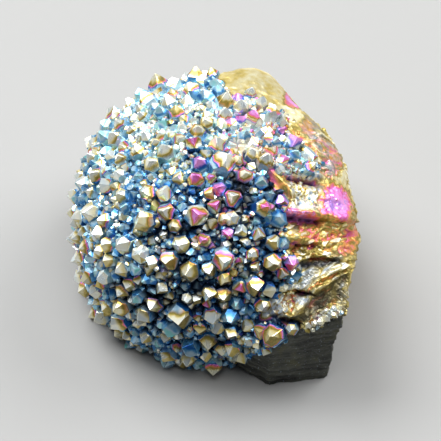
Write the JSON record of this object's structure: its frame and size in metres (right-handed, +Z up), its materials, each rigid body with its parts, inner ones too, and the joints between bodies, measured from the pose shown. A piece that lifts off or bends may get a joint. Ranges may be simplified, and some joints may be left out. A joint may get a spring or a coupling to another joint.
{
  "type": "aura quartz cluster",
  "caption": "Dome of small intergrown quartz points with a metallic coloured film, on a broken matrix stone with a flat underside.",
  "frame": {"origin": "on the flat underside, below the middle of the dome", "axes": "+Z up, away from the flat underside; -Y towards the side with the tall corner of bare stone, which is at +X -Y"},
  "size_m": [0.0585, 0.0636, 0.0431],
  "materials": {
    "coated_quartz": "opaque iridescent metal film: cream and pale gold tips, steel-blue sides, magenta patches",
    "coated_matrix": "rough stone under the same film: magenta, orange and old gold",
    "bare_matrix": "dull grey-brown stone, uncoated"
  },
  "bodies": {
    "root": {"aura_quartz_cluster": "coated_quartz"}
  },
  "joints": []
}
